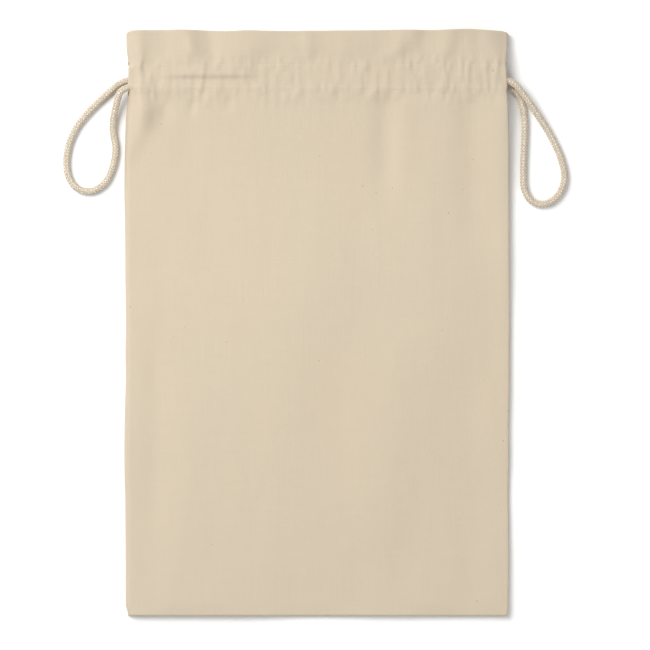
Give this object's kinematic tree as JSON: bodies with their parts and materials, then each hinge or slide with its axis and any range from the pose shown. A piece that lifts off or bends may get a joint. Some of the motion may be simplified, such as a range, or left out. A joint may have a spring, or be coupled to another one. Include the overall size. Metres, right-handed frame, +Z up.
{
  "type": "drawstring gift sack",
  "caption": "Large natural cotton drawstring gift sack lying flat, with a stitched casing under a short frilled header and a braided cord loop at each side.",
  "frame": {"origin": "middle of the sack's underside, on the surface that it lies on", "axes": "+X across the sack to the right, +Y along the sack towards its mouth, +Z up out of the front panel"},
  "size_m": [0.395, 0.46, 0.0184],
  "materials": {
    "cotton_cloth": "fabric",
    "cotton_cord": "fabric",
    "sewing_thread": "fabric"
  },
  "bodies": {
    "sack": {"front_panel": "cotton_cloth", "back_panel": "cotton_cloth", "front_casing_lower_stitches": "sewing_thread", "front_casing_upper_stitches": "sewing_thread", "back_casing_lower_stitches": "sewing_thread", "back_casing_upper_stitches": "sewing_thread", "left_side_seam_stitches": "sewing_thread", "right_side_seam_stitches": "sewing_thread", "bottom_seam_stitches": "sewing_thread", "left_overlock_thread": "sewing_thread", "right_overlock_thread": "sewing_thread", "bottom_overlock_thread": "sewing_thread", "left_opening_lower_tack": "sewing_thread", "left_opening_upper_tack": "sewing_thread", "right_opening_lower_tack": "sewing_thread", "right_opening_upper_tack": "sewing_thread"},
    "left_cord": {"left_drawcord": "cotton_cord", "left_cord_end_bindings": "sewing_thread"},
    "right_cord": {"right_drawcord": "cotton_cord", "right_cord_end_bindings": "sewing_thread"}
  },
  "joints": [
    {"name": "left_cord_pull", "type": "slide", "parent": "sack", "child": "left_cord", "axis": [-1, 0, 0], "range_m": [0, 0.22]},
    {"name": "right_cord_pull", "type": "slide", "parent": "sack", "child": "right_cord", "axis": [1, 0, 0], "range_m": [0, 0.22]}
  ]
}
